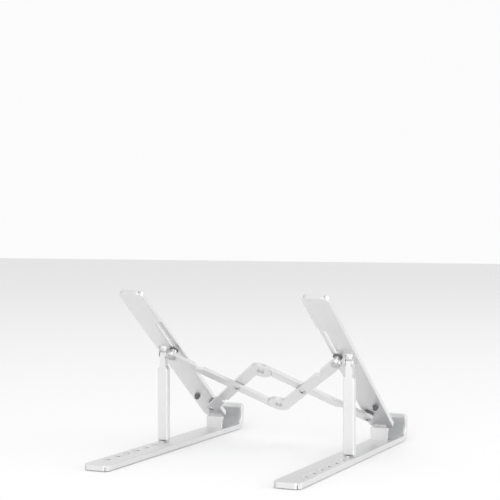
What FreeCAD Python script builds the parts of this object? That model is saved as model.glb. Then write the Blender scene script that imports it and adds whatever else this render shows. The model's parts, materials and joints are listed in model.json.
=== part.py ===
"""Foldable aluminium laptop stand: two folded-sheet legs joined by a scissor of four flat links.

Each leg has a base rail with a front hook, a sloping upper rail hinged to a tab near the hook, and
a strut that stands in one of a row of notches. Units are millimetres. +Z is up, the hooks are at
-Y, and the origin is on the floor below the middle of the stand. The right leg (+X) is modelled,
and the left leg is its mirror image. Pieces on the sloping rails are modelled in the rail's own
frame, in which X is across, Y runs up the slope from the lower link pivot, and Z is the distance
from the rail's flat underside.
"""

import FreeCAD, Part
import Sketcher
import math
import os
import re

DIMENSIONS = {
    # Base rail: a folded pan with its skirts down, curling up into a hook at the front.
    "rail_offset": 82.0, "base_width": 22.4, "base_length": 249.0, "base_top": 5.2,
    "skirt_gap": 0.6, "sheet": 1.6, "base_corner": 4.5, "hook_radius": 7.9, "hook_height": 24.0,
    "slit": 0.5, "slit_y": -84.5, "edge_bend": 0.6, "overshoot": 20.0,
    # Silicone under and in the base rail.
    "foot_height": 3.6, "foot_clearance": 0.2, "foot_length": 62.0, "front_foot_y": -72.0,
    "rear_foot_y": 84.0, "hook_pad_thickness": 0.8, "hook_pad_width": 18.0,
    "hook_pad_rear": -97.5, "hook_pad_top": 20.5,
    # Strut notches, counted from the one that the strut stands in.
    "notch_count": 7, "notch_pitch": 15.46, "notch_width": 6.4, "notch_length": 3.0,
    "tooth_width": 3.0, "tooth_thickness": 1.0, "tooth_height": 1.2,
    # Hinge tab, folded up from the base rail.
    "tab_shift": -1.0, "tab_rear": -80.9, "tab_width": 15.2, "tab_sheet": 1.3, "tab_top": 16.5,
    "cheek_depth": 2.7, "cheek_round": 2.0, "window_front": -94.8, "relief": 1.0,
    "hinge_y": -84.6, "hinge_z": 14.5, "pin_radius": 1.1, "pin_head_radius": 1.5,
    "pin_head": 0.4, "running_fit": 0.05,
    # Upper rail: a folded pan with its skirts up.
    "tilt": 37.3, "hinge_down_slope": 23.6, "hinge_below": 2.9, "upper_width": 22.0,
    "upper_length": 201.3, "upper_low_end": 25.4, "upper_depth": 3.8, "upper_corner": 5.0,
    "knuckle_round": 2.0, "knuckle_half_width": 5.9,
    "recess_low": 74.0, "recess_high": 133.0, "recess_width": 2.3, "recess_depth": 1.9,
    "riser": 0.5, "raised_web_top": 3.4,
    "slot_half_width": 1.5, "slot_spare": 1.2,
    # Silicone pads that the laptop lies on.
    "pad_width": 15.0, "pad_top": 4.8, "front_pad_low": 12.0, "front_pad_high": 70.0,
    "rear_pad_low": 141.0, "rear_pad_high": 169.0, "pad_corner": 3.0,
    # Scissor: link pivots, in the plane of the upper rails.
    "pivot_slope": -2.5, "link_outer": 64.9, "link_inner": 40.0, "link_kink": 7.0,
    "open_angle": 46.13, "closed_angle": 89.657, "link_width": 9.6, "link_thickness": 3.0,
    "near_layer": 2.0, "layer_gap": 0.2, "lap_clearance": 0.3, "lap_gap": 0.1,
    # The notch in a link's edge that clears a centre rivet's head when the stand is folded.
    "head_notch_low": 0.9, "head_notch_high": 0.1, "head_notch_depth": 4.2,
    "head_notch_low_run": 3.9, "head_notch_high_run": 4.7,
    # Rivets and washers.
    "rivet_radius": 1.5, "rivet_hole": 1.58, "cross_head_radius": 3.1, "head_thickness": 0.9,
    "centre_head_radius": 3.3, "centre_head": 0.7, "head_dimple_radius": 1.1,
    "head_dimple": 0.5, "pivot_head_radius": 3.3, "slide_head_radius": 3.7,
    "slide_pin_radius": 1.4, "slide_top_radius": 2.1, "washer_radius": 4.0,
    "washer_thickness": 0.8, "spacer_radius": 2.9,
    # Strut, hung on a pin below the upper rail.
    "strut_shift": 4.3, "strut_slope": 88.5, "strut_below": 3.4, "strut_width": 9.5,
    "strut_thickness": 5.5, "strut_neck": 5.2, "neck_length": 10.6, "shoulder_drop": 2.6,
    "strut_wall": 1.3, "strut_edge": 0.8, "foot_gap": 0.25,
    "ear_sheet": 1.0, "ear_round": 3.5, "ear_gap": 0.3,
    "bracket_half_length": 9.0, "bracket_sheet": 1.0, "bracket_margin": 1.5,
    "strut_pin_radius": 1.25, "strut_pin_head_radius": 2.0,
    "bumper_radius": 2.65, "bumper_height": 3.7, "bumper_edge": 1.3, "bumper_slope": 11.8,
}

# Lengths that follow from the driving dimensions, as expressions in them.
DERIVED = {
    "slope_y": "(hinge_y + hinge_down_slope * cos(tilt) - hinge_below * sin(tilt))",
    "slope_z": "(hinge_z + hinge_down_slope * sin(tilt) + hinge_below * cos(tilt))",
    "pivot_x": "(link_outer * cos(open_angle) + link_inner * cos(open_angle - link_kink))",
    "slide_slope": "(pivot_slope + 2 * link_outer * sin(open_angle))",
    "slide_closed": "(pivot_slope + 2 * link_outer * sin(closed_angle))",
    "cross_x": "(link_inner * cos(open_angle - link_kink))",
    "cross_slope": "(pivot_slope + link_outer * sin(open_angle))",
    "centre_reach": "(link_inner * sin(open_angle - link_kink))",
    "far_layer": "(near_layer + link_thickness + layer_gap)",
    "link_bar": "(link_outer + link_inner * cos(link_kink))",
    "link_offset": "(link_inner * sin(link_kink))",
    "boss_radius": "(link_offset + link_width / 2)",
    "head_place": "(link_outer * sin(closed_angle)"
                  " - link_inner * sin(closed_angle - link_kink))",
    "strut_x": "(rail_offset + strut_shift)",
    "tab_x": "(rail_offset + tab_shift)",
    "strut_y": "(slope_y + strut_slope * cos(tilt) + strut_below * sin(tilt))",
    "strut_z": "(slope_z + strut_slope * sin(tilt) - strut_below * cos(tilt))",
}

UPPER_FRAME = "placement(vector(0; slope_y; slope_z); rotation(vector(1; 0; 0); tilt))"
TURN_TO = {"x": "rotation(vector(0; 1; 0); 90)", "y": "rotation(vector(1; 0; 0); -90)",
           "z": "rotation(vector(0; 0; 1); 0)"}

SUBPARTS = []
PLACES = {}

doc = FreeCAD.newDocument("LaptopStand")
sheet = doc.addObject("Spreadsheet::Sheet", "Dimensions")
for row, (alias, value) in enumerate(DIMENSIONS.items(), start=1):
    sheet.set(f"A{row}", alias)
    sheet.set(f"B{row}", str(value))
    sheet.setAlias(f"B{row}", alias)
doc.recompute()


def expand(text):
    """Turn names of dimensions into references to the spreadsheet's cells."""
    text = str(text)
    while re.search(r"\b(%s)\b" % "|".join(DERIVED), text):
        text = re.sub(r"\b(%s)\b" % "|".join(DERIVED), lambda name: DERIVED[name[1]], text)
    return re.sub(r"\b(%s)\b" % "|".join(DIMENSIONS), r"Dimensions.\1", text)


def bind(obj, **properties):
    """Bind an object's properties to expressions in the dimensions."""
    for name, text in properties.items():
        obj.setExpression(name.replace("__", "."), expand(text))
    return obj


def place(obj, placement):
    """Place an object, and remember where, so that on_slope can add the upper rail's frame."""
    PLACES[obj.Name] = placement
    return bind(obj, Placement=placement)


def box(name, x, y, z):
    """A box given by its (low, high) expressions along each axis."""
    obj = doc.addObject("Part::Box", name)
    spans = {"Length": x, "Width": y, "Height": z}
    bind(obj, **{size: f"({high}) - ({low})" for size, (low, high) in spans.items()})
    return bind(obj, Placement__Base__x=x[0], Placement__Base__y=y[0], Placement__Base__z=z[0])


def cylinder(name, radius, axis, centre, span, sector=None, start="0"):
    """A cylinder along an axis. centre holds its other two coordinates in X, Y, Z order."""
    obj = doc.addObject("Part::Cylinder", name)
    low, high = span
    corner = list(centre)
    corner.insert("xyz".index(axis), low)
    bind(obj, Radius=radius, Height=f"({high}) - ({low})")
    if sector is not None:
        bind(obj, Angle=sector)
    turn = f"{TURN_TO[axis]} * rotation(vector(0; 0; 1); {start})"
    return place(obj, f"placement(vector({'; '.join(corner)}); {turn})")


def in_order(side, near, far):
    """Put a span's ends in rising order on the side (1 or -1) that it lies on."""
    return (near, far) if side > 0 else (far, near)


def wedge(name, y, near, far, z):
    """A prism along Z whose X span changes evenly from near, at the low end of y, to far."""
    obj = doc.addObject("Part::Wedge", name)
    return bind(obj, Xmin=near[0], Xmax=near[1], X2min=far[0], X2max=far[1], Ymin=y[0],
                Ymax=y[1], Zmin=z[0], Zmax=z[1], Z2min=z[0], Z2max=z[1])


def fuse(name, *shapes):
    """One solid made of overlapping or touching shapes."""
    obj = doc.addObject("Part::MultiFuse", name)
    obj.Shapes = list(shapes)
    obj.Refine = True
    return obj


def cut(name, base, *tools):
    """A shape with one or more tools cut away."""
    obj = doc.addObject("Part::Cut", name)
    obj.Base = base
    obj.Tool = tools[0] if len(tools) == 1 else fuse(f"{name}_cuts", *tools)
    obj.Refine = True
    return obj


def common(name, first, second):
    """The part that two shapes share."""
    obj = doc.addObject("Part::Common", name)
    obj.Base, obj.Tool = first, second
    obj.Refine = True
    return obj


def rounded_slab(name, width, length, corner, height, centre, facing="z"):
    """A padded sketch of a rectangle with round corners. centre is the middle of its first face."""
    body = doc.addObject("PartDesign::Body", name)
    sketch = body.newObject("Sketcher::SketchObject", f"{name}_outline")
    plane = next(item for item in body.Origin.OriginFeatures if item.Role == "XY_Plane")
    sketch.AttachmentSupport = [(plane, "")]
    sketch.MapMode = "FlatFace"
    half_w, half_l, r = 10.0, 20.0, 2.0
    vector = FreeCAD.Vector
    ends = [(vector(-half_w + r, -half_l), vector(half_w - r, -half_l)),
            (vector(half_w, -half_l + r), vector(half_w, half_l - r)),
            (vector(half_w - r, half_l), vector(-half_w + r, half_l)),
            (vector(-half_w, half_l - r), vector(-half_w, -half_l + r))]
    centres = [vector(half_w - r, -half_l + r), vector(half_w - r, half_l - r),
               vector(-half_w + r, half_l - r), vector(-half_w + r, -half_l + r)]
    for start, end in ends:
        sketch.addGeometry(Part.LineSegment(start, end), False)
    quarter = math.pi / 2
    for index, middle in enumerate(centres):
        circle = Part.Circle(middle, vector(0, 0, 1), r)
        begin = (index - 1) * quarter
        sketch.addGeometry(Part.ArcOfCircle(circle, begin, begin + quarter), False)
    for index in range(4):
        arc, following = index + 4, (index + 1) % 4
        sketch.addConstraint(Sketcher.Constraint("Tangent", index, 2, arc, 1))
        sketch.addConstraint(Sketcher.Constraint("Tangent", arc, 2, following, 1))
    sketch.addConstraint(Sketcher.Constraint("Horizontal", 0))
    sketch.addConstraint(Sketcher.Constraint("Vertical", 1))
    sketch.addConstraint(Sketcher.Constraint("Horizontal", 2))
    sketch.addConstraint(Sketcher.Constraint("Vertical", 3))
    for arc in (5, 6, 7):
        sketch.addConstraint(Sketcher.Constraint("Equal", 4, arc))
    driven = {
        "radius": (Sketcher.Constraint("Radius", 4, r), corner),
        "left": (Sketcher.Constraint("DistanceX", 3, 1, -1, 1, half_w), f"({width}) / 2"),
        "right": (Sketcher.Constraint("DistanceX", -1, 1, 1, 1, half_w), f"({width}) / 2"),
        "front": (Sketcher.Constraint("DistanceY", 0, 1, -1, 1, half_l), f"({length}) / 2"),
        "rear": (Sketcher.Constraint("DistanceY", -1, 1, 2, 1, half_l), f"({length}) / 2"),
    }
    for label, (constraint, text) in driven.items():
        number = sketch.addConstraint(constraint)
        sketch.renameConstraint(number, label)
        sketch.setExpression(f"Constraints.{label}", expand(text))
    pad = body.newObject("PartDesign::Pad", f"{name}_pad")
    pad.Profile = sketch
    bind(pad, Length=height)
    return place(body, f"placement(vector({'; '.join(centre)}); {TURN_TO[facing]})")


def named(obj, label):
    """Give a finished sub-part its name and keep it for export."""
    obj.Label = label
    SUBPARTS.append(obj)
    return obj


def mirrored(obj, label):
    """The left leg's copy of a sub-part of the right leg."""
    copy = doc.addObject("Part::Mirroring", f"{label}_mirror")
    copy.Source = obj
    copy.Normal = FreeCAD.Vector(1, 0, 0)
    return named(copy, label)


def both_sides(obj, name):
    """Name a right-leg sub-part and add its mirror image."""
    named(obj, f"{name}_right")
    mirrored(obj, f"{name}_left")


def on_slope(obj):
    """Move a sub-part that was modelled in the upper rail's frame to its place on the slope."""
    return bind(obj, Placement=f"{UPPER_FRAME} * {PLACES[obj.Name]}" if obj.Name in PLACES
                else UPPER_FRAME)


def hook_band(name, width, inner, outer, rear, tip):
    """A J-shaped band: flat along the floor, then a quarter turn, then upright at the front.

    inner and outer are the turn's radii about the hook's centre line.
    """
    x = (f"rail_offset - ({width}) / 2", f"rail_offset + ({width}) / 2")
    centre_y, centre_z = "(hook_radius + base_top - skirt_gap - base_length / 2)", \
                         "(base_top + hook_radius)"
    turn = cut(f"{name}_turn",
               cylinder(f"{name}_turn_outside", outer, "x", (centre_y, centre_z), x,
                        sector="90", start="-90"),
               cylinder(f"{name}_turn_inside", inner, "x", (centre_y, centre_z), x))
    return fuse(
        name, turn,
        box(f"{name}_flat", x, (centre_y, rear), (f"{centre_z} - ({outer})",
                                                 f"{centre_z} - ({inner})")),
        box(f"{name}_upright", x, (f"{centre_y} - ({outer})", f"{centre_y} - ({inner})"),
            (centre_z, tip)))


def base_form(name, inset, inner, outer, tip):
    """The base rail's form, inset from its sides and ends: round at the rear and at the hook's tip."""
    width = f"(base_width - 2 * {inset})"
    corner = f"base_corner - {inset}"
    band = hook_band(f"{name}_band", width, inner, outer, f"base_length / 2 - {inset}", tip)
    plan = rounded_slab(f"{name}_plan", width, f"base_length + 2 * overshoot - 2 * {inset}",
                        corner, "hook_height + 2 * overshoot",
                        ("rail_offset", "-overshoot", "-overshoot"))
    face = rounded_slab(f"{name}_face", width, f"2 * ({tip})", corner,
                        "base_length + 2 * overshoot",
                        ("rail_offset", "-base_length / 2 - overshoot", "0"), "y")
    return common(f"{name}_form", common(f"{name}_rear", band, plan), face)


def soften(name, base, radius, chosen):
    """Round the edges that bound the chosen faces."""
    doc.recompute()
    faces = base.Shape.Faces
    bounds = [edge for face in faces if chosen(face) for edge in face.Edges]
    rims = [edge for edge in bounds if sum(edge.isSame(other) for other in bounds) == 1]
    obj = doc.addObject("Part::Fillet", name)
    obj.Base = base
    obj.Edges = [(number, DIMENSIONS[radius], DIMENSIONS[radius])
                 for number, edge in enumerate(base.Shape.Edges, start=1)
                 if any(edge.isSame(rim) for rim in rims)]
    return obj


def is_base_upper_side(face):
    """Whether a face of the base rail's blank is on its upper side, which curls up the hook."""
    if face.Surface.TypeId == "Part::GeomCylinder":
        return abs(face.Surface.Radius - DIMENSIONS["hook_radius"]) < 1e-6
    normal = face.normalAt(0, 0)
    height = face.CenterOfMass.z
    on_top = normal.z > 0.9 and abs(height - DIMENSIONS["base_top"]) < 1e-6
    return on_top or (normal.y > 0.9 and height > DIMENSIONS["base_top"] + 1)


def base_rail():
    """The folded base with its hook, notches, hinge tab and cheeks."""
    band = soften("base_blank", base_form("base", "0", "hook_radius",
                                          "hook_radius + base_top - skirt_gap", "hook_height"),
                  "edge_bend", is_base_upper_side)
    inside = base_form("base_hollow", "sheet", "hook_radius + sheet", "hook_radius + base_top + overshoot",
                       "hook_height - sheet")
    cuts = [inside]
    for number, sign in enumerate((1, -1)):
        edge = f"rail_offset + {sign} * base_width / 2"
        corner = f"{edge} - {sign} * base_corner / 2"
        cuts.append(box(f"side_slit_{number}", (f"{edge} - sheet - slit", f"{edge} + sheet + slit"),
                        ("slit_y - slit / 2", "slit_y + slit / 2"), ("0", "base_top - sheet")))
        cuts.append(box(f"rear_slit_{number}", (f"{corner} - slit / 2", f"{corner} + slit / 2"),
                        ("base_length / 2 - base_corner", "base_length / 2 + sheet"),
                        ("0", "base_top - sheet")))
    through_top = ("base_top - 2 * sheet", "base_top + sheet")
    cuts.append(box("tab_window", ("tab_x - tab_width / 2", "tab_x + tab_width / 2"),
                    ("window_front", "tab_rear - tab_sheet"), through_top))
    for number, sign in enumerate((1, -1)):
        corner = f"tab_x + {sign} * (tab_width + relief) / 2"
        cuts.append(box(f"tab_relief_{number}", (f"{corner} - relief / 2", f"{corner} + relief / 2"),
                        ("tab_rear - tab_sheet - relief", "tab_rear"), through_top))
    teeth = []
    notch_x = ("strut_x - notch_width / 2", "strut_x + notch_width / 2")
    tooth_x = ("strut_x - tooth_width / 2", "strut_x + tooth_width / 2")
    for number in range(DIMENSIONS["notch_count"]):
        notch_y = f"strut_y + {number} * notch_pitch"
        tooth_y = f"{notch_y} + notch_length"
        cuts.append(box(f"notch_{number}", notch_x, (notch_y, tooth_y), through_top))
        teeth.append(box(f"tooth_{number}", tooth_x, (tooth_y, f"{tooth_y} + tooth_thickness"),
                         ("base_top - sheet / 2", "base_top + tooth_height")))
    pan = cut("base_pan", band, *cuts)
    return cut("base_rail_body", fuse("base_folded", pan, *teeth, *hinge_tab()),
               cylinder("hinge_hole", "pin_radius", "x", ("hinge_y", "hinge_z"),
                        ("tab_x - tab_width", "tab_x + tab_width")))


def hinge_tab():
    """The tab's plate and its two cheeks, which hold the hinge pin."""
    left, right = "tab_x - tab_width / 2", "tab_x + tab_width / 2"
    pieces = [box("tab_plate", (left, right), ("tab_rear - tab_sheet", "tab_rear"),
                  ("base_top - sheet", "tab_top"))]
    for number, low in enumerate((left, f"{right} - tab_sheet")):
        span = (low, f"{low} + tab_sheet")
        pieces += [
            box(f"cheek_{number}", span, ("tab_rear - cheek_depth", "tab_rear"),
                ("base_top - sheet", "hinge_z")),
            box(f"cheek_top_{number}", span, ("hinge_y", "tab_rear"), ("hinge_z", "tab_top")),
            cylinder(f"cheek_round_{number}", "cheek_round", "x", ("hinge_y", "hinge_z"), span)]
    return pieces


def headed_pin(name, radius, head, thickness, axis, centre, span):
    """A pin with a head at each end of its span."""
    low, high = span
    return fuse(name, cylinder(f"{name}_shaft", radius, axis, centre, span),
                cylinder(f"{name}_low_head", head, axis, centre, (f"{low} - {thickness}", low)),
                cylinder(f"{name}_high_head", head, axis, centre, (high, f"{high} + {thickness}")))


def hook_pad():
    """The silicone lining of the hook, laid on the base rail's upper side."""
    return hook_band("hook_pad_body", "hook_pad_width", "hook_radius - hook_pad_thickness",
                     "hook_radius", "hook_pad_rear", "hook_pad_top")


def foot(name, y):
    """A silicone foot set in the base rail, standing a little below its skirts."""
    return rounded_slab(name, "base_width - 2 * sheet - 2 * foot_clearance", "foot_length",
                        "base_corner - sheet", "foot_height", ("rail_offset", y, "0"))


def upper_rail():
    """The sloping rail: web, skirts, slot, joggled strip, strut window and hinge knuckle."""
    x_low, x_high = "rail_offset - upper_width / 2", "rail_offset + upper_width / 2"
    middle = "upper_length / 2 - upper_low_end"
    slab = rounded_slab("upper_slab", "upper_width", "upper_length", "upper_corner", "upper_depth",
                        ("rail_offset", middle, "0"))
    blank = soften("upper_blank", slab, "edge_bend", lambda face: face.normalAt(0, 0).z < -0.9)
    trough = rounded_slab("upper_trough", "upper_width - 2 * sheet", "upper_length - 2 * sheet",
                          "upper_corner - sheet", "upper_depth", ("rail_offset", middle, "sheet"))
    through = ("-upper_depth", "2 * upper_depth")
    recess = box("recess", (f"{x_low} - sheet", f"{x_low} + recess_width"),
                 ("recess_low", "recess_high"), ("-sheet", "recess_depth"))
    raised = box("raised_web", (f"{x_low} + sheet / 2", f"{x_low} + recess_width + riser"),
                 ("recess_low - riser", "recess_high + riser"), ("sheet / 2", "raised_web_top"))
    slot_low, slot_high = "slide_slope - slot_spare", "slide_closed + slot_spare"
    cuts = [recess,
            box("slot", ("pivot_x - slot_half_width", "pivot_x + slot_half_width"),
                (slot_low, slot_high), through)]
    for end, where in (("low", slot_low), ("high", slot_high)):
        cuts.append(cylinder(f"slot_{end}_end", "slot_half_width", "z", ("pivot_x", where), through))
    ear_reach = "(strut_neck / 2 + ear_gap + ear_sheet)"
    window_reach = "(bracket_half_length - bracket_margin)"
    cuts.append(box("strut_window", (f"strut_x - {ear_reach}", f"strut_x + {ear_reach}"),
                    (f"strut_slope - {window_reach}", f"strut_slope + {window_reach}"), through))
    for number, corner in enumerate((f"{x_low} + upper_corner / 2", f"{x_high} - upper_corner / 2")):
        cuts.append(box(f"end_slit_{number}", (f"{corner} - slit / 2", f"{corner} + slit / 2"),
                        ("upper_length - upper_low_end - upper_corner",
                         "upper_length - upper_low_end + sheet"), ("sheet / 2", "2 * upper_depth")))
    cuts.append(cylinder("pivot_hole", "rivet_radius", "z", ("pivot_x", "pivot_slope"), through))
    pan = cut("upper_pan", fuse("upper_stamped", cut("upper_open", blank, trough), raised), *cuts)
    span = ("tab_x - knuckle_half_width", "tab_x + knuckle_half_width")
    knuckle = [box("knuckle_neck", span, ("-hinge_down_slope - knuckle_round",
                                          "-hinge_down_slope + knuckle_round"),
                   ("-hinge_below", "sheet / 2")),
               cylinder("knuckle_round", "knuckle_round", "x", ("-hinge_down_slope", "-hinge_below"),
                        span)]
    return cut("upper_rail_body", fuse("upper_folded", pan, *knuckle),
               cylinder("knuckle_hole", "pin_radius + running_fit", "x",
                        ("-hinge_down_slope", "-hinge_below"), (x_low, x_high)))


def trough_pad(name, low, high):
    """A silicone pad in the upper rail's trough, standing proud of its skirts."""
    return rounded_slab(name, "pad_width", f"{high} - {low}", "pad_corner", "pad_top - sheet",
                        ("rail_offset", f"({low} + {high}) / 2", "sheet"))


def strut_bracket():
    """A plate in the trough with two ears that pass down through the rail's window."""
    ears, inner = [], "(strut_neck / 2 + ear_gap)"
    plate = box("bracket_plate", (f"strut_x - {inner} - ear_sheet - bracket_margin",
                                  f"strut_x + {inner} + ear_sheet"),
                ("strut_slope - bracket_half_length", "strut_slope + bracket_half_length"),
                ("sheet", "sheet + bracket_sheet"))
    opening = box("bracket_opening", (f"strut_x - {inner}", f"strut_x + {inner}"),
                  ("strut_slope - bracket_half_length + 2 * bracket_margin",
                   "strut_slope + bracket_half_length - 2 * bracket_margin"),
                  ("0", "2 * (sheet + bracket_sheet)"))
    for number, low in enumerate((f"strut_x - {inner} - ear_sheet", f"strut_x + {inner}")):
        span = (low, f"{low} + ear_sheet")
        ears.append(box(f"ear_{number}", span, ("strut_slope - ear_round", "strut_slope + ear_round"),
                        ("-strut_below", "sheet + bracket_sheet")))
        ears.append(cylinder(f"ear_round_{number}", "ear_round", "x", ("strut_slope", "-strut_below"),
                             span))
    frame = cut("bracket_frame", plate, opening)
    return cut("strut_bracket_body", fuse("bracket_folded", frame, *ears),
               cylinder("bracket_hole", "strut_pin_radius", "x", ("strut_slope", "-strut_below"),
                        ("strut_x - strut_width", "strut_x + strut_width")))


def strut():
    """The strut, modelled hanging down from its own pivot: a channel that is open to the front."""
    half, thick = "strut_width / 2", "strut_thickness / 2"
    low = "(base_top + foot_gap - strut_z)"
    bar = box("strut_bar", (f"-{half}", half), (f"-{thick}", thick), (f"{low} + {thick}", "0"))
    ends = [cylinder("strut_foot", thick, "x", ("0", f"{low} + {thick}"), (f"-{half}", half)),
            cylinder("strut_top", thick, "x", ("0", "0"), (f"-{half}", half))]
    beside = []
    for number, side in enumerate((1, -1)):
        outer, inner = f"{side} * strut_width", f"{side} * strut_neck / 2"
        beside.append(box(f"beside_neck_{number}", in_order(side, inner, outer),
                          ("-strut_width", "strut_width"), ("-neck_length", "strut_width")))
        shoulder = wedge(f"shoulder_{number}", ("-neck_length - shoulder_drop", "-neck_length"),
                         in_order(side, f"{side} * {half}", outer), in_order(side, inner, outer),
                         ("-strut_width", "strut_width"))
        beside.append(bind(shoulder, Placement="placement(vector(0; 0; 0);"
                                               " rotation(vector(1; 0; 0); 90))"))
    blank = cut("strut_blank", fuse("strut_solid", bar, *ends), *beside)
    edged = soften("strut_edged", blank, "strut_edge",
                   lambda face: abs(face.CenterOfMass.x) > DIMENSIONS["strut_width"] / 2 - 1e-6)
    hollow = box("strut_hollow", (f"-{half} + strut_wall", f"{half} - strut_wall"),
                 ("-strut_thickness", f"{thick} - strut_wall"),
                 (f"{low} - strut_wall", "-neck_length - shoulder_drop - strut_wall"))
    hole = cylinder("strut_hole", "strut_pin_radius + running_fit", "x", ("0", "0"),
                    ("-strut_width", "strut_width"))
    body = cut("strut_body", edged, hollow, hole)
    return bind(body, Placement="placement(vector(strut_x; strut_y; strut_z);"
                                " rotation(vector(1; 0; 0); 0))")


def link(name, side, outer_slope, direction, hand, layer, lap_near):
    """One flat link from its outer pivot to its centre pivot, in its own frame.

    side is +1 or -1 for the leg that it starts from, direction the angle of its centre line, hand
    the side of the centre line that its inner pivots lie on, and lap_near says which half of the
    thickness it keeps around the centre pivot.
    """
    top, bottom = f"-{layer}", f"-{layer} - link_thickness"
    full = (bottom, top)
    offset = f"{hand} * link_offset"
    half = "(link_thickness / 2)"
    near_lap = (f"{bottom} - layer_gap", f"{bottom} + {half} + lap_gap / 2")
    far_lap = (f"{top} - {half} - lap_gap / 2", f"{top} + layer_gap")
    solid = fuse(
        f"{name}_outline",
        box(f"{name}_bar", ("0", "link_bar"), ("-link_width / 2", "link_width / 2"), full),
        cylinder(f"{name}_end", "link_width / 2", "z", ("0", "0"), full),
        cylinder(f"{name}_boss", "boss_radius", "z", ("link_bar", offset), full))
    through = (f"{bottom} - layer_gap", f"{top} + layer_gap")
    cuts = [cylinder(f"{name}_lap", "boss_radius + lap_clearance", "z", ("link_bar", offset),
                     far_lap if lap_near else near_lap)]
    for number, spot in enumerate((("0", "0"), ("link_outer", "0"), ("link_bar", offset))):
        cuts.append(cylinder(f"{name}_hole_{number}", "rivet_hole", "z", spot, through))
    low, high = "(head_place - head_notch_low)", "(head_place + head_notch_high)"
    floor = (low, high)
    past_edge = (f"{low} - 2 * head_notch_low_run", f"{high} + 2 * head_notch_high_run")
    depths = in_order(hand, f"{hand} * (link_width / 2 - head_notch_depth)",
                      f"{hand} * (link_width / 2 + head_notch_depth)")
    cuts.append(wedge(f"{name}_head_notch", depths, *in_order(hand, floor, past_edge), through))
    obj = cut(f"{name}_body", solid, *cuts)
    return bind(obj, Placement=f"{UPPER_FRAME} * placement(vector({side} * pivot_x; {outer_slope}; 0);"
                               f" rotation(vector(0; 0; 1); {direction}))")


def dimpled_rivet(name, spot, layer_top, layer_bottom, head):
    """A rivet through stacked sheets with a head on each side, the lower one dimpled."""
    rivet = headed_pin(f"{name}_rivet", "rivet_radius", head, "head_thickness", "z", spot,
                       (layer_bottom, layer_top))
    lowest = f"{layer_bottom} - head_thickness"
    return cut(f"{name}_dimpled", rivet,
               cylinder(f"{name}_dimple", "head_dimple_radius", "z", spot,
                        (f"{lowest} - head_dimple", f"{lowest} + head_dimple")))


def build_base():
    """Everything that is fixed to the base rails."""
    both_sides(base_rail(), "base_rail")
    both_sides(headed_pin("hinge_pin", "pin_radius", "pin_head_radius", "pin_head", "x",
                          ("hinge_y", "hinge_z"),
                          ("tab_x - tab_width / 2", "tab_x + tab_width / 2")), "hinge_pin")
    both_sides(hook_pad(), "hook_pad")
    both_sides(foot("front_foot_body", "front_foot_y"), "front_foot")
    both_sides(foot("rear_foot_body", "rear_foot_y"), "rear_foot")


def build_upper():
    """Everything that is fixed to the upper rails."""
    both_sides(on_slope(upper_rail()), "upper_rail")
    both_sides(on_slope(trough_pad("front_pad_body", "front_pad_low", "front_pad_high")), "front_pad")
    both_sides(on_slope(trough_pad("rear_pad_body", "rear_pad_low", "rear_pad_high")), "rear_pad")
    both_sides(on_slope(strut_bracket()), "strut_bracket")
    both_sides(on_slope(headed_pin(
        "strut_pin_body", "strut_pin_radius", "strut_pin_head_radius", "pin_head", "x",
        ("strut_slope", "-strut_below"),
        ("strut_x - strut_neck / 2 - ear_gap - ear_sheet",
         "strut_x + strut_neck / 2 + ear_gap + ear_sheet"))), "strut_pin")
    bumper = soften("bumper_domed", cylinder("bumper", "bumper_radius", "z",
                                             ("strut_x", "bumper_slope"), ("-bumper_height", "0")),
                    "bumper_edge", lambda face: face.normalAt(0, 0).z < -0.9)
    both_sides(on_slope(bumper), "strut_bumper")
    spot = ("pivot_x", "pivot_slope")
    both_sides(on_slope(dimpled_rivet("pivot", spot, "sheet", "-near_layer - link_thickness",
                                      "pivot_head_radius")), "pivot_rivet")
    both_sides(on_slope(ring("pivot_washer_body", "washer_radius", "rivet_radius", spot,
                             ("-near_layer", "0"))), "pivot_washer")


def build_links():
    """The four links, their rivets and the sliding pins."""
    for suffix, side in (("right", 1), ("left", -1)):
        turn = "180 - open_angle" if side > 0 else "open_angle"
        named(link(f"fixed_link_body_{suffix}", side, "pivot_slope", turn, side, "near_layer",
                   side > 0), f"fixed_link_{suffix}")
        turn = "180 + open_angle" if side > 0 else "-open_angle"
        named(link(f"sliding_link_body_{suffix}", side, "slide_slope", turn, -side, "far_layer",
                   side < 0), f"sliding_link_{suffix}")
    both_sides(on_slope(dimpled_rivet("cross", ("cross_x", "cross_slope"), "-near_layer",
                                      "-far_layer - link_thickness", "cross_head_radius")),
               "cross_rivet")
    for name, slope, layer in (("top", "cross_slope + centre_reach", "near_layer"),
                               ("bottom", "cross_slope - centre_reach", "far_layer")):
        span = (f"-{layer} - link_thickness", f"-{layer}")
        named(on_slope(headed_pin(f"{name}_centre", "rivet_radius", "centre_head_radius",
                                  "centre_head", "z", ("0", slope), span)), f"{name}_centre_rivet")
    spot = ("pivot_x", "slide_slope")
    lowest, seat = "(-far_layer - link_thickness)", "(sheet + running_fit)"
    both_sides(on_slope(fuse(
        "slide_pin_body",
        cylinder("slide_shaft", "slide_pin_radius", "z", spot, (lowest, seat)),
        cylinder("slide_top", "slide_top_radius", "z", spot, (seat, f"{seat} + head_thickness")),
        cylinder("slide_head", "slide_head_radius", "z", spot,
                 (f"{lowest} - head_thickness", lowest)))), "slide_pin")
    washer_low = "(-washer_thickness - running_fit)"
    both_sides(on_slope(ring("slide_washer_body", "washer_radius", "slide_pin_radius", spot,
                             (washer_low, "-running_fit"))), "slide_washer")
    both_sides(on_slope(ring("slide_spacer_body", "spacer_radius", "slide_pin_radius", spot,
                             ("-far_layer", washer_low))), "slide_spacer")


def ring(name, radius, bore, spot, span):
    """A flat ring around a pin or rivet."""
    low, high = span
    return cut(name, cylinder(f"{name}_disc", radius, "z", spot, span),
               cylinder(f"{name}_bore", bore, "z", spot, (f"{low} - sheet", f"{high} + sheet")))


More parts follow.
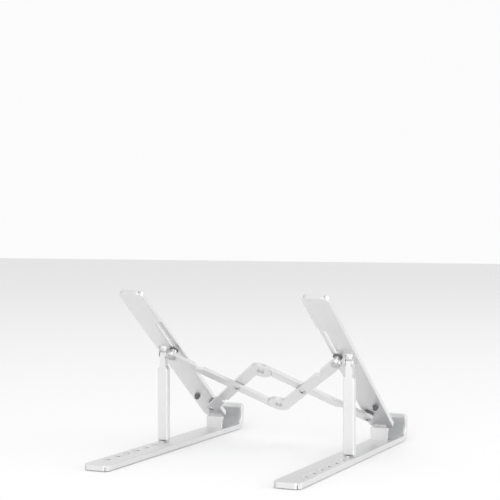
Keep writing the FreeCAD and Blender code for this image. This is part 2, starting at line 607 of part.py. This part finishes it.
def export():
    """Check every object, then write one STEP file for each sub-part."""
    doc.recompute()
    for obj in doc.Objects:
        if "Invalid" in obj.State or "Error" in obj.State:
            raise RuntimeError(f"{obj.Name} failed: {obj.State}")
    for obj in SUBPARTS:
        if obj.Shape.isNull() or not obj.Shape.isValid() or len(obj.Shape.Solids) != 1:
            raise RuntimeError(f"{obj.Label} has no single valid solid")
    os.makedirs("parts", exist_ok=True)
    for obj in SUBPARTS:
        obj.Shape.exportStep(f"parts/{obj.Label}.step")
    print(f"{len(SUBPARTS)} sub-parts written")


build_base()
both_sides(strut(), "strut")
build_upper()
build_links()
export()
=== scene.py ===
"""Looks of the foldable aluminium laptop stand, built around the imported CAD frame. Metres, +Z up."""

import json
import math

import bmesh
import bpy
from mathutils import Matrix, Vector


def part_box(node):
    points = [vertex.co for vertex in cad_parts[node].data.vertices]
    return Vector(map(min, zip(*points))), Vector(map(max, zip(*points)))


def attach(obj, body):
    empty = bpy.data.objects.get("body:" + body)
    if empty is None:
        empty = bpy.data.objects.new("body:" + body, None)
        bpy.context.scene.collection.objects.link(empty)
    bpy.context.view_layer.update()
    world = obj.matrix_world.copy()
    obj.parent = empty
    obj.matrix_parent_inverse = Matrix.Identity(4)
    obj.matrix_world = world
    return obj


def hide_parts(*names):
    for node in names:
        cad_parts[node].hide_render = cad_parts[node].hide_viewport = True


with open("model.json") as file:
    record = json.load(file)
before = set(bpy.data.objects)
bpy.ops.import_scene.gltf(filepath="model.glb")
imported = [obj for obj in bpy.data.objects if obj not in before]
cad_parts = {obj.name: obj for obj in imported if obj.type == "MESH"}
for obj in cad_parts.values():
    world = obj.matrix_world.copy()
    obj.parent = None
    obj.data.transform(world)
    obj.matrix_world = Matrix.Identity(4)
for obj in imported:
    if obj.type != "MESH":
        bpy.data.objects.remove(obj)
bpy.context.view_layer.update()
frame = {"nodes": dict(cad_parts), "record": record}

MM = 0.001
SIDES = ("left", "right")
BODY_OF = {node: body for body, nodes in frame["record"]["behaviour"]["bodies"].items()
           for node in nodes}

# The upper rails' frame: across, up the slope, and off the rails' flat undersides.
FOLD_AXIS = next(joint["axis"] for joint in frame["record"]["behaviour"]["joints"]
                 if joint["name"] == "fold")
ACROSS = Vector((1, 0, 0))
OFF = Vector(FOLD_AXIS).normalized()
UP_SLOPE = OFF.cross(ACROSS)
SLOPE_SINE, SLOPE_COSINE = UP_SLOPE.z, UP_SLOPE.y

# Camera: behind the stand and on its left, looking almost level.
CAMERA_PLACE = Vector((-458.1, 983.2, 190.5)) * MM
CAMERA_YAW = math.radians(25.25)
CAMERA_PITCH = math.radians(-0.92)
CAMERA_LENS = 92.38
SENSOR_WIDTH = 36.0

# Studio light: the world's strength falls from the horizon to overhead.
WORLD_FADE = {"From Min": 0.22, "From Max": 0.75, "To Min": 0.97, "To Max": 0.74}
LIGHTS = (
    ("overhead", (0.2, 0.3, 2.2), 2.4, 6.0),
    ("key", (-0.6, 2.4, 0.9), 1.6, 24.0),
    ("side", (-2.2, -0.6, 0.5), 1.4, 12.0),
)
LIGHT_TARGET = Vector((0, 0, 50)) * MM
FLOOR_COLOUR = (0.97, 0.97, 0.97, 1)
FLOOR_ROUGHNESS = 0.9
FLOOR_SIZE = 12.0

# Rounding of the CAD nodes' edges, in mm.
EDGE_ROUNDING = {"base_rail": 0.12, "upper_rail": 0.2, "strut": 0.15, "fixed_link": 0.3,
                 "sliding_link": 0.3, "strut_bracket": 0.2, "slide_pin": 0.2,
                 "slide_washer": 0.15, "slide_spacer": 0.15, "pivot_washer": 0.2}
WELD_DISTANCE = 1e-6
FLAT_ANGLE = math.radians(0.5)
BEVEL_SEGMENTS = 2
TURNED_SEGMENTS = 56
SHARP_ANGLE = math.radians(34)

# Cloudy tone and gloss of the materials.
TONE_BAND = (0.3, 0.7)
METAL_CLOUDS = 38.0
SOFT_CLOUDS = 90.0
GLOSS_SPREAD = 0.05

# Moulded silicone, in mm: the hook's lining, and the ribs of the pads and feet.
HOOK_RADIUS = 7.9
LINING_SKIN, LINING_RIDGE, LINING_PITCH = 0.5, 0.28, 1.7
LINING_STEPS = 14
LINING_END_RISE = 4.0
LINING_END_SHARE = 0.4
LINING_SIDE_SHARE, LINING_SIDE_BEVEL = 0.6, 0.25
RIB_HEIGHT, RIB_HALF_WIDTH, RIB_PITCH, RIB_MARGIN = 0.4, 0.6, 2.4, 1.5
RIB_SINK, RIB_TAPER, RIB_STEPS = 0.05, 0.25, 6
SLAB_EDGE, SLAB_EDGE_BULGE = 0.45, 0.3
PAD_CORNER, FOOT_CORNER = 3.0, 2.9
CORNER_STEPS = 6


def new_material(name):
    """A node material with its tree, shader and a helper that adds nodes."""
    material = bpy.data.materials.new(name)
    material.use_nodes = True
    tree = material.node_tree
    shader = tree.nodes["Principled BSDF"]

    def add(kind, links=(), **values):
        node = tree.nodes.new(kind)
        for key, value in values.items():
            node.inputs[key.replace("_", " ")].default_value = value
        for source, socket in links:
            tree.links.new(source, node.inputs[socket])
        return node

    return material, tree, shader, add


def mottle(tree, shader, add, where, colour, spread, scale):
    """Cloudy tone over the surface; returns the clouds."""
    cloud = add("ShaderNodeTexNoise", [(where, "Vector")], Scale=scale, Detail=4.0, Roughness=0.6)
    tone = add("ShaderNodeValToRGB", [(cloud.outputs["Fac"], "Fac")])
    low, high = tone.color_ramp.elements
    low.position, high.position = TONE_BAND
    low.color = (*[c - spread for c in colour], 1)
    high.color = (*[c + spread for c in colour], 1)
    tree.links.new(tone.outputs["Color"], shader.inputs["Base Color"])
    return cloud


def metal(name, colour, spread, roughness, grain, depth):
    """Blasted or turned metal: fine grain, cloudy tone and uneven gloss."""
    material, tree, shader, add = new_material(name)
    where = add("ShaderNodeTexCoord").outputs["Object"]
    cloud = mottle(tree, shader, add, where, colour, spread, METAL_CLOUDS)
    gloss = add("ShaderNodeMapRange", [(cloud.outputs["Fac"], "Value")])
    gloss.inputs["To Min"].default_value = roughness - GLOSS_SPREAD
    gloss.inputs["To Max"].default_value = roughness + GLOSS_SPREAD
    tree.links.new(gloss.outputs["Result"], shader.inputs["Roughness"])
    blast = add("ShaderNodeTexNoise", [(where, "Vector")], Scale=grain, Detail=2.0)
    bump = add("ShaderNodeBump", [(blast.outputs["Fac"], "Height")], Strength=0.35, Distance=depth)
    tree.links.new(bump.outputs["Normal"], shader.inputs["Normal"])
    shader.inputs["Metallic"].default_value = 1.0
    return material


def soft(name, colour, spread, roughness, grain, depth):
    """Moulded rubber, silicone or nylon: matte, with a fine moulded texture."""
    material, tree, shader, add = new_material(name)
    where = add("ShaderNodeTexCoord").outputs["Object"]
    mottle(tree, shader, add, where, colour, spread, SOFT_CLOUDS)
    skin = add("ShaderNodeTexNoise", [(where, "Vector")], Scale=grain, Detail=3.0)
    bump = add("ShaderNodeBump", [(skin.outputs["Fac"], "Height")], Strength=0.5, Distance=depth)
    tree.links.new(bump.outputs["Normal"], shader.inputs["Normal"])
    shader.inputs["Roughness"].default_value = roughness
    return material


MATERIALS = {
    "aluminium": metal("aluminium", (0.78, 0.78, 0.785), 0.015, 0.40, 5200.0, 0.00003),
    "steel": metal("steel", (0.58, 0.58, 0.585), 0.04, 0.30, 3000.0, 0.00002),
    "silicone": soft("silicone", (0.42, 0.43, 0.44), 0.02, 0.75, 1800.0, 0.00004),
    "bumper": soft("bumper", (0.12, 0.12, 0.125), 0.015, 0.7, 2200.0, 0.00004),
    "washer": soft("washer", (0.16, 0.16, 0.165), 0.02, 0.5, 2600.0, 0.00002),
}


def kind(node):
    """A node's name without its side."""
    return node.removesuffix("_left").removesuffix("_right")


def dress(obj, node, slot):
    """Give a CAD node the material of its slot, and round its edges a little."""
    obj.data.materials.clear()
    obj.data.materials.append(MATERIALS[slot])
    if kind(node) in EDGE_ROUNDING:
        weld = obj.modifiers.new("weld", "WELD")
        weld.merge_threshold = WELD_DISTANCE
        flat = obj.modifiers.new("flat", "DECIMATE")
        flat.decimate_type = "DISSOLVE"
        flat.angle_limit = FLAT_ANGLE
        bevel = obj.modifiers.new("bevel", "BEVEL")
        bevel.width = EDGE_ROUNDING[kind(node)] * MM
        bevel.segments = BEVEL_SEGMENTS
        bevel.limit_method = "ANGLE"
        bevel.angle_limit = SHARP_ANGLE
        bevel.harden_normals = True
        evened = obj.modifiers.new("evened", "WEIGHTED_NORMAL")
        evened.keep_sharp = True


def new_piece(name, maker, node, slot, replaced=True):
    """A piece that rides with a CAD node's body, and stands for the node if it replaces it."""
    mesh = bpy.data.meshes.new(name)
    shape = bmesh.new()
    maker(shape, node)
    bmesh.ops.recalc_face_normals(shape, faces=shape.faces)
    for face in shape.faces:
        face.smooth = True
    shape.to_mesh(mesh)
    shape.free()
    mesh.set_sharp_from_angle(angle=SHARP_ANGLE)
    mesh.materials.append(MATERIALS[slot])
    obj = bpy.data.objects.new(name, mesh)
    bpy.context.scene.collection.objects.link(obj)
    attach(obj, BODY_OF[node])
    if replaced:
        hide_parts(node)
    return obj


def middle(node):
    """The centre of a node's box."""
    low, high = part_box(node)
    return (low + high) / 2


def turned(shape, centre, axis, profile):
    """Turn a profile of (radius, height) pairs in mm about an axis through centre."""
    first = axis.orthogonal().normalized()
    second = axis.cross(first)
    rings = []
    for radius, height in profile:
        base = centre + axis * height * MM
        if radius == 0:
            rings.append([shape.verts.new(base)] * TURNED_SEGMENTS)
            continue
        turns = (math.tau * step / TURNED_SEGMENTS for step in range(TURNED_SEGMENTS))
        rings.append([shape.verts.new(base + (first * math.cos(turn) + second * math.sin(turn))
                                      * radius * MM) for turn in turns])
    for lower, upper in zip(rings, rings[1:]):
        for step in range(TURNED_SEGMENTS):
            ahead = (step + 1) % TURNED_SEGMENTS
            corners = [lower[step], lower[ahead], upper[ahead], upper[step]]
            shape.faces.new(list(dict.fromkeys(corners)))


def slope_pin_size(node):
    """Radius and half length in mm of a round node that stands square to the slope."""
    low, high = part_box(node)
    radius = (high.x - low.x) / 2
    half = ((high.z - low.z) / 2 - radius * SLOPE_SINE) / SLOPE_COSINE
    return radius / MM, half / MM


def hollow_rivet(shape, node):
    """A rivet whose lower head is rolled around a hollow shank."""
    radius, half = slope_pin_size(node)
    turned(shape, middle(node), OFF, (
        (0, -half + 1.8), (1.1, -half + 1.8), (1.12, -half + 0.25), (1.3, -half + 0.06),
        (1.6, -half), (radius - 1.0, -half + 0.05), (radius - 0.4, -half + 0.2),
        (radius - 0.1, -half + 0.42), (radius, -half + 0.65), (radius, -half + 0.88),
        (1.5, -half + 0.88), (1.5, half - 0.88), (radius, half - 0.88), (radius, half - 0.5),
        (radius - 0.3, half - 0.15), (radius - 0.9, half), (0, half)))


def rivet_hole_shade(shape, node):
    """Painted shade inside a hollow rivet's shank: a dark cup in the washer material that darkens the
    hole.
    """
    half = slope_pin_size(node)[1]
    turned(shape, middle(node), OFF, [(radius, depth - half) for radius, depth in (
        (0, 1.5), (1.0, 1.5), (1.04, 0.16), (1.11, 0.16), (1.09, 1.7), (0, 1.7))])


def flat_rivet(shape, node):
    """A rivet with flat heads, each with a turned groove inside its rim."""
    radius, half = slope_pin_size(node)
    lower = ((0, 0.16), (radius - 1.55, 0.16), (radius - 1.4, 0.34), (radius - 1.15, 0.34),
             (radius - 1.0, 0.02), (radius - 0.7, 0), (radius - 0.3, 0.06), (radius, 0.32),
             (radius, 0.7), (1.5, 0.7))
    turned(shape, middle(node), OFF,
           [(r, h - half) for r, h in lower] + [(r, half - h) for r, h in reversed(lower)])


def cross_pin(shape, node):
    """A pin that lies across the stand, with domed heads."""
    low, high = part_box(node)
    radius, half = (high.z - low.z) / 2 / MM, (high.x - low.x) / 2 / MM
    head = ((0, 0), (0.5 * radius, 0.04), (0.8 * radius, 0.13), (radius, 0.3), (radius, 0.4),
            (0.6 * radius, 0.4))
    turned(shape, middle(node), ACROSS,
           [(r, h - half) for r, h in head] + [(r, half - h) for r, h in reversed(head)])


def bumper(shape, node):
    """A rubber button with a flange and a domed nose."""
    radius, half = slope_pin_size(node)
    turned(shape, middle(node), OFF, (
        (0, half), (radius, half), (radius, half - 0.9), (radius - 0.15, half - 1.1),
        (radius - 0.45, half - 1.25), (radius - 0.5, half - 2.2), (radius - 0.7, half - 2.9),
        (radius - 1.2, half - 3.4), (radius - 1.9, -half + 0.05), (0, -half)))


def pin_rim(shape, node):
    """A turned rim and a centre boss on the lower head of a sliding pin."""
    turned(shape, slide_foot(node), OFF, (
        (0, -0.12), (1.2, -0.12), (1.5, 0.04), (2.3, 0.04), (2.5, -0.14), (3.2, -0.14),
        (3.5, 0.05), (3.5, 0.3), (0, 0.3)))


def slide_foot(node):
    """The middle of the lower face of a sliding pin's lower head."""
    low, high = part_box(node)
    radius = (high.x - low.x) / 2
    washer = middle(node.replace("pin", "washer"))
    drop = (washer.z - low.z - radius * SLOPE_SINE) / SLOPE_COSINE
    return washer - OFF * drop


def outline(width, length, corner):
    """A rectangle with round corners, as (x, y) pairs in mm about its middle."""
    points = []
    for quarter, (sx, sy) in enumerate(((1, 1), (-1, 1), (-1, -1), (1, -1))):
        for step in range(CORNER_STEPS + 1):
            turn = math.pi / 2 * (quarter + step / CORNER_STEPS)
            points.append((sx * (width / 2 - corner) + corner * math.cos(turn),
                           sy * (length / 2 - corner) + corner * math.sin(turn)))
    return points


def ribbed_slab(shape, centre, along, off, size, corner):
    """A moulded slab with round corners and a softened, ribbed face on its off side."""
    width, length, thickness = size

    def point(x, y, z):
        return shape.verts.new(centre + (ACROSS * x + along * y + off * z) * MM)

    top = thickness / 2 - RIB_HEIGHT
    bulge = SLAB_EDGE_BULGE * SLAB_EDGE
    levels = ((0, -thickness / 2), (0, top - SLAB_EDGE), (bulge, top - bulge), (SLAB_EDGE, top))
    rings = [[point(x, y, z) for x, y in outline(width - 2 * inset, length - 2 * inset,
                                                 corner - inset)] for inset, z in levels]
    shape.faces.new(rings[0])
    shape.faces.new(rings[-1])
    for lower, upper in zip(rings, rings[1:]):
        for index in range(len(lower)):
            ahead = (index + 1) % len(lower)
            shape.faces.new((lower[index], lower[ahead], upper[ahead], upper[index]))
    count = int((length - 2 * corner - RIB_PITCH) // RIB_PITCH)
    turns = [math.pi * step / RIB_STEPS for step in range(RIB_STEPS + 1)]
    section = [(RIB_HALF_WIDTH * math.cos(turn),
                top - RIB_SINK + (RIB_HEIGHT + RIB_SINK) * math.sin(turn)) for turn in turns]
    reach = width / 2 - RIB_MARGIN
    for number in range(count + 1):
        y = (number - count / 2) * RIB_PITCH
        ends = [[point(side * (reach - RIB_TAPER * (z > top)), y + dy, z) for dy, z in section]
                for side in (-1, 1)]
        for end in ends:
            shape.faces.new(end)
        for index in range(len(section)):
            ahead = (index + 1) % len(section)
            shape.faces.new((ends[0][index], ends[0][ahead], ends[1][ahead], ends[1][index]))


def slope_slab_size(node):
    """Width, length and thickness in mm of a slab that lies along the slope."""
    low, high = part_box(node)
    extent = high - low
    spread = SLOPE_COSINE ** 2 - SLOPE_SINE ** 2
    length = (extent.y * SLOPE_COSINE - extent.z * SLOPE_SINE) / spread
    thickness = (extent.z * SLOPE_COSINE - extent.y * SLOPE_SINE) / spread
    return extent.x / MM, length / MM, thickness / MM


def trough_pad(shape, node):
    """A ribbed silicone pad that the laptop lies on."""
    ribbed_slab(shape, middle(node), UP_SLOPE, OFF, slope_slab_size(node), PAD_CORNER)


def foot(shape, node):
    """A ribbed silicone foot, its ribs on the floor."""
    low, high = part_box(node)
    size = [value / MM for value in high - low]
    ribbed_slab(shape, middle(node), Vector((0, 1, 0)), Vector((0, 0, -1)), size, FOOT_CORNER)


def hook_pad(shape, node):
    """The silicone lining of a hook: a band with ridges across it, bent up the hook's inside."""
    low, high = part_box(node)
    turn_y, turn_z = low.y / MM + HOOK_RADIUS, low.z / MM + HOOK_RADIUS
    rear, top = high.y / MM, high.z / MM
    flat, quarter, upright = rear - turn_y, HOOK_RADIUS * math.pi / 2, top - turn_z
    whole = flat + quarter + upright

    def path(s, depth):
        if s < flat:
            return rear - s, turn_z - HOOK_RADIUS + depth
        if s < flat + quarter:
            turn = (s - flat) / HOOK_RADIUS
            reach = HOOK_RADIUS - depth
            return turn_y - reach * math.sin(turn), turn_z - reach * math.cos(turn)
        return turn_y - HOOK_RADIUS + depth, turn_z + s - flat - quarter

    steps = round(whole / LINING_PITCH * LINING_STEPS)
    stations = [whole * step / steps for step in range(steps + 1)]
    inner = []
    for s in stations:
        ends = min(1.0, LINING_END_RISE * min(s, whole - s))
        wave = math.sin(math.pi * s / LINING_PITCH) ** 2
        skin = LINING_SKIN * (LINING_END_SHARE + (1 - LINING_END_SHARE) * ends)
        inner.append(skin + LINING_RIDGE * wave * ends)
    half = (high.x - low.x) / 2 / MM
    shoulder = half - LINING_SIDE_BEVEL
    columns = ((-half, 0.0), (-half, LINING_SIDE_SHARE), (-shoulder, 1.0), (shoulder, 1.0),
               (half, LINING_SIDE_SHARE), (half, 0.0))
    x_middle = middle(node).x / MM
    rows = []
    for s, depth in zip(stations, inner):
        rows.append([shape.verts.new(Vector((x_middle + x, *path(s, depth * share))) * MM)
                     for x, share in columns])
    for row, following in zip(rows, rows[1:]):
        for index in range(len(columns)):
            ahead = (index + 1) % len(columns)
            shape.faces.new((row[index], row[ahead], following[ahead], following[index]))
    shape.faces.new(rows[0])
    shape.faces.new(rows[-1])


PIECES = (
    ("pivot_rivet", hollow_rivet, "steel"), ("cross_rivet", hollow_rivet, "steel"),
    ("hinge_pin", cross_pin, "steel"), ("strut_pin", cross_pin, "steel"),
    ("strut_bumper", bumper, "bumper"), ("front_pad", trough_pad, "silicone"),
    ("rear_pad", trough_pad, "silicone"), ("front_foot", foot, "silicone"),
    ("rear_foot", foot, "silicone"), ("hook_pad", hook_pad, "silicone"),
)
DETAILS = (
    # The rivets' hole pieces use the dark washer material as painted shade inside the hollow shanks.
    ("slide_pin", pin_rim, "steel", "rim"), ("pivot_rivet", rivet_hole_shade, "washer", "hollow"),
    ("cross_rivet", rivet_hole_shade, "washer", "hollow"),
)


def build_pieces():
    """Every modelled piece that stands for a CAD node or adds to one."""
    for name, maker, slot in PIECES:
        for side in SIDES:
            node = f"{name}_{side}"
            new_piece(f"{node}_form", maker, node, slot)
    for place in ("top", "bottom"):
        node = f"{place}_centre_rivet"
        new_piece(f"{node}_form", flat_rivet, node, "steel")
    for name, maker, slot, suffix in DETAILS:
        for side in SIDES:
            node = f"{name}_{side}"
            new_piece(f"{node}_{suffix}", maker, node, slot, replaced=False)


def camera():
    """The scene's camera."""
    data = bpy.data.cameras.new("camera")
    data.lens = CAMERA_LENS
    data.sensor_width = SENSOR_WIDTH
    obj = bpy.data.objects.new("camera", data)
    bpy.context.scene.collection.objects.link(obj)
    aim = Vector((math.sin(CAMERA_YAW) * math.cos(CAMERA_PITCH),
                  -math.cos(CAMERA_YAW) * math.cos(CAMERA_PITCH), math.sin(CAMERA_PITCH)))
    obj.location = CAMERA_PLACE
    obj.rotation_euler = aim.to_track_quat("-Z", "Y").to_euler()
    bpy.context.scene.camera = obj


def floor():
    """A plain pale floor that runs on past the view."""
    bpy.ops.mesh.primitive_plane_add(size=FLOOR_SIZE, location=(0, 0, 0))
    plane = bpy.context.active_object
    plane.name = "floor"
    material, _, shader, _ = new_material("floor")
    shader.inputs["Base Color"].default_value = FLOOR_COLOUR
    shader.inputs["Roughness"].default_value = FLOOR_ROUGHNESS
    plane.data.materials.append(material)


def softbox(name, place, size, power):
    """A square area light aimed at the middle of the stand."""
    data = bpy.data.lights.new(name, "AREA")
    data.size = size
    data.energy = power
    obj = bpy.data.objects.new(name, data)
    obj.location = place
    obj.rotation_euler = (LIGHT_TARGET - Vector(place)).to_track_quat("-Z", "Y").to_euler()
    bpy.context.scene.collection.objects.link(obj)


def studio():
    """Soft, even studio light: a white world, brightest near the horizon, and softboxes."""
    world = bpy.data.worlds.new("studio")
    world.use_nodes = True
    tree = world.node_tree
    background = tree.nodes["Background"]
    background.inputs["Color"].default_value = (1, 1, 1, 1)
    where = tree.nodes.new("ShaderNodeTexCoord")
    split = tree.nodes.new("ShaderNodeSeparateXYZ")
    tree.links.new(where.outputs["Generated"], split.inputs["Vector"])
    height = tree.nodes.new("ShaderNodeMapRange")
    tree.links.new(split.outputs["Z"], height.inputs["Value"])
    height.interpolation_type = "SMOOTHSTEP"
    for socket, value in WORLD_FADE.items():
        height.inputs[socket].default_value = value
    tree.links.new(height.outputs["Result"], background.inputs["Strength"])
    bpy.context.scene.world = world
    for light in LIGHTS:
        softbox(*light)
    bpy.context.scene.view_settings.view_transform = "Standard"


for entry in frame["record"]["subparts"]:
    dress(frame["nodes"][entry["node"]], entry["node"], entry["material_slot"])
build_pieces()
camera()
floor()
studio()
